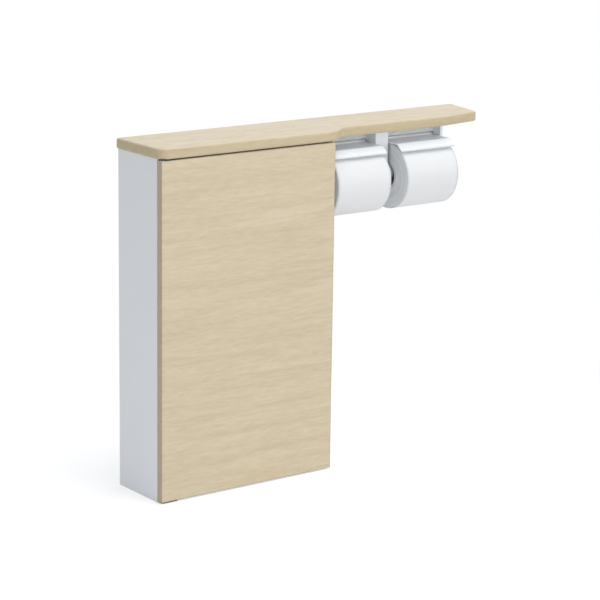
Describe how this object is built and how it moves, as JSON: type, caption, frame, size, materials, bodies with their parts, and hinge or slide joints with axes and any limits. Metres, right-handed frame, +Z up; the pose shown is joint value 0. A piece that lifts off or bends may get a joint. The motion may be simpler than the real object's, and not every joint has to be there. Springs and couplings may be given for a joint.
{
  "type": "floor storage cabinet",
  "caption": "Slim white floor cabinet with a flat wood-grain door, shelves inside, and a long counter that carries a double toilet paper holder with hinged covers.",
  "frame": {"origin": "on the floor, under the middle of the whole object's box", "axes": "+X to the right along the counter, +Y from the door to the wall, +Z up"},
  "size_m": [0.716, 0.131, 0.594],
  "materials": {
    "white_melamine": "satin",
    "wood_grain_laminate": "satin",
    "wood_grain_edge": "satin",
    "beech_dowel": "matt",
    "white_plastic": "satin",
    "grey_plastic": "satin",
    "clear_rubber": "soft",
    "zinc_plated_steel": "zinc plated",
    "spring_steel": "bright",
    "magnet": "nickel plated",
    "toilet_paper": "soft",
    "card_tube": "raw"
  },
  "bodies": {
    "cabinet": {"side_panel_left": "white_melamine", "side_panel_right": "white_melamine", "bottom_panel": "white_melamine", "top_panel": "white_melamine", "back_panel": "white_melamine", "hanging_rail_bottom": "white_melamine", "hanging_rail_top": "white_melamine", "shelf_lower": "white_melamine", "shelf_middle": "white_melamine", "shelf_upper": "white_melamine", "shelf_pins": "zinc_plated_steel", "carcass_dowels": "beech_dowel", "counter_board": "wood_grain_laminate", "counter_edge_band": "wood_grain_edge", "counter_screws": "zinc_plated_steel", "pivot_plate_top": "zinc_plated_steel", "pivot_plate_bottom": "zinc_plated_steel", "pivot_pins": "zinc_plated_steel", "pivot_screws": "zinc_plated_steel", "latch_housing": "white_plastic", "latch_spring": "spring_steel", "latch_screws": "zinc_plated_steel", "holder_base": "white_plastic", "holder_arm_left": "white_plastic", "holder_arm_center": "white_plastic", "holder_arm_right": "white_plastic", "arm_screws": "zinc_plated_steel", "holder_counter_screws": "zinc_plated_steel", "pad_ring_1": "white_plastic", "pad_ring_2": "white_plastic", "pad_spring_1": "spring_steel", "pad_spring_2": "spring_steel", "cover_pin_1": "zinc_plated_steel", "cover_pin_2": "zinc_plated_steel"},
    "door": {"door_panel": "wood_grain_laminate", "door_edge_band": "wood_grain_edge", "door_bumpers": "clear_rubber", "pivot_bush_top": "grey_plastic", "pivot_bush_bottom": "grey_plastic", "strike_plate": "zinc_plated_steel", "strike_screw": "zinc_plated_steel"},
    "latch": {"latch_plunger": "grey_plastic", "latch_magnet": "magnet"},
    "cover_left": {"cover_1": "white_plastic"},
    "cover_right": {"cover_2": "white_plastic"},
    "roll_left": {"paper_roll_1": "toilet_paper", "roll_core_1": "card_tube"},
    "roll_right": {"paper_roll_2": "toilet_paper", "roll_core_2": "card_tube"},
    "pad_left": {"roll_pad_1": "grey_plastic"},
    "pad_right": {"roll_pad_2": "grey_plastic"}
  },
  "joints": [
    {"name": "door_swing", "type": "hinge", "parent": "cabinet", "child": "door", "pos_m": [-0.35, -0.0585, 0.3], "axis": [0, 0, -1], "range_deg": [0, 105]},
    {"name": "latch_slide", "type": "slide", "parent": "cabinet", "child": "latch", "axis": [0, -1, 0], "range_m": [0, 0.0081], "deforming": ["latch_spring"]},
    {"name": "left_cover_tilt", "type": "hinge", "parent": "cabinet", "child": "cover_left", "pos_m": [0.0615, 0.0195, 0.5538], "axis": [-1, 0, 0], "range_deg": [0, 22]},
    {"name": "right_cover_tilt", "type": "hinge", "parent": "cabinet", "child": "cover_right", "pos_m": [0.2125, 0.0195, 0.5538], "axis": [-1, 0, 0], "range_deg": [0, 22]},
    {"name": "left_roll_turn", "type": "hinge", "parent": "cabinet", "child": "roll_left", "pos_m": [0.0615, -0.0025, 0.492], "axis": [1, 0, 0], "continuous": true},
    {"name": "right_roll_turn", "type": "hinge", "parent": "cabinet", "child": "roll_right", "pos_m": [0.2125, -0.0025, 0.492], "axis": [1, 0, 0], "continuous": true},
    {"name": "left_pad_press", "type": "slide", "parent": "cabinet", "child": "pad_left", "axis": [1, 0, 0], "range_m": [0, 0.0095], "stiffness_N_per_m": 300, "springref_m": -0.01, "deforming": ["pad_spring_1"]},
    {"name": "right_pad_press", "type": "slide", "parent": "cabinet", "child": "pad_right", "axis": [-1, 0, 0], "range_m": [0, 0.0095], "stiffness_N_per_m": 300, "springref_m": -0.01, "deforming": ["pad_spring_2"]}
  ],
  "couplings": [
    {"joint": "latch_slide", "follows": "door_swing", "m_per_rad": 0.0043654}
  ]
}
